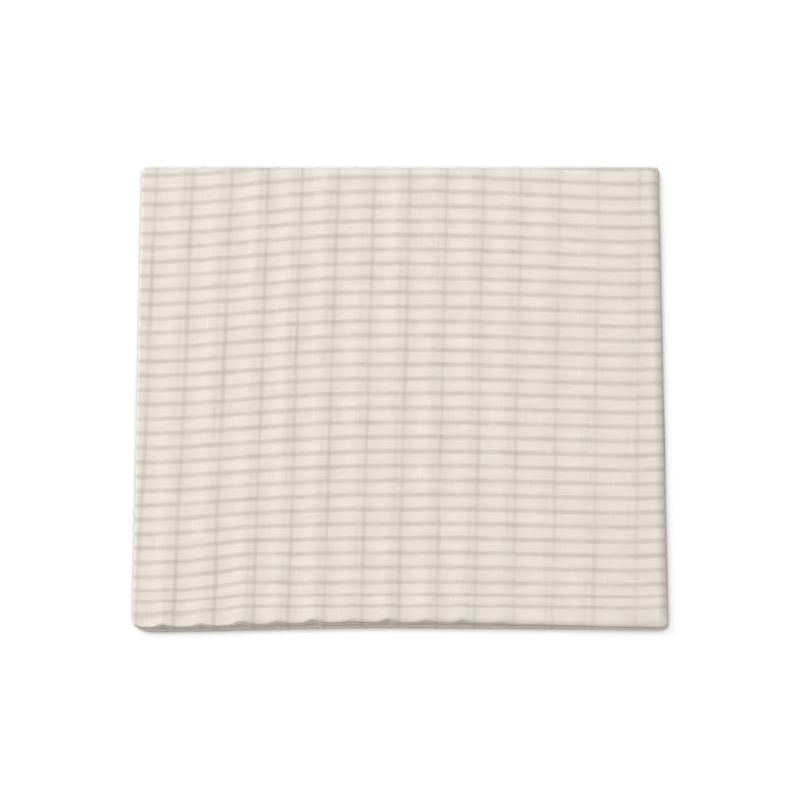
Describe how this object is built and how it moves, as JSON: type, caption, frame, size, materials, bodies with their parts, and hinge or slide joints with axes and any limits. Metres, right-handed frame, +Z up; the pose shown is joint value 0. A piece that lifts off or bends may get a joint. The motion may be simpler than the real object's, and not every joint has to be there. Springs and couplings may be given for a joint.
{
  "type": "folded baby wrap sling",
  "caption": "Woven baby wrap put away as a flat bundle: a long windowpane-check cloth, rails turned under and fan folded, whose upper leaves open out flat.",
  "frame": {"origin": "centre of the bundle on the surface it lies on", "axes": "+X across the bundle along the fold lines, +Y towards the back where both tails end, -Y the front with the uppermost fold, +Z up"},
  "size_m": [0.3564, 0.3124, 0.0154],
  "materials": {
    "cloth": "soft matte cotton weave with a thin taupe windowpane check",
    "hem": "the same weave turned twice and stitched in matching thread"
  },
  "bodies": {
    "lower_leaves": {"leaf_01_panel": "cloth", "leaf_01_flaps": "cloth", "leaf_01_rails": "hem", "leaf_02_panel": "cloth", "leaf_02_flaps": "cloth", "leaf_02_rails": "hem", "leaf_03_panel": "cloth", "leaf_03_flaps": "cloth", "leaf_03_rails": "hem", "leaf_04_panel": "cloth", "leaf_04_flaps": "cloth", "leaf_04_rails": "hem", "leaf_05_panel": "cloth", "leaf_05_flaps": "cloth", "leaf_05_rails": "hem", "leaf_06_panel": "cloth", "leaf_06_flaps": "cloth", "leaf_06_rails": "hem", "leaf_07_panel": "cloth", "leaf_07_flaps": "cloth", "leaf_07_rails": "hem", "fold_01_turn": "cloth", "fold_02_turn": "cloth", "fold_03_turn": "cloth", "fold_04_turn": "cloth", "fold_05_turn": "cloth", "fold_06_turn": "cloth", "bottom_tail_hem": "hem"},
    "leaf_08": {"leaf_08_panel": "cloth", "leaf_08_flaps": "cloth", "leaf_08_rails": "hem"},
    "leaf_09": {"leaf_09_panel": "cloth", "leaf_09_flaps": "cloth", "leaf_09_rails": "hem"},
    "leaf_10": {"leaf_10_panel": "cloth", "leaf_10_flaps": "cloth", "leaf_10_rails": "hem"},
    "leaf_11": {"leaf_11_panel": "cloth", "leaf_11_flaps": "cloth", "leaf_11_rails": "hem"},
    "leaf_12": {"leaf_12_panel": "cloth", "leaf_12_flaps": "cloth", "leaf_12_rails": "hem", "top_tail_hem": "hem"}
  },
  "joints": [
    {"name": "fold_07_hinge", "type": "hinge", "parent": "lower_leaves", "child": "leaf_08", "pos_m": [0, -0.15473, 0.0083], "axis": [1, 0, 0], "range_deg": [0, 180]},
    {"name": "fold_08_hinge", "type": "hinge", "parent": "leaf_08", "child": "leaf_09", "pos_m": [0, 0.15418, 0.0095], "axis": [-1, 0, 0], "range_deg": [0, 180]},
    {"name": "fold_09_hinge", "type": "hinge", "parent": "leaf_09", "child": "leaf_10", "pos_m": [0, -0.15418, 0.0107], "axis": [1, 0, 0], "range_deg": [0, 180]},
    {"name": "fold_10_hinge", "type": "hinge", "parent": "leaf_10", "child": "leaf_11", "pos_m": [0, 0.15364, 0.0119], "axis": [-1, 0, 0], "range_deg": [0, 180]},
    {"name": "fold_11_hinge", "type": "hinge", "parent": "leaf_11", "child": "leaf_12", "pos_m": [0, -0.15364, 0.0131], "axis": [1, 0, 0], "range_deg": [0, 180]}
  ]
}
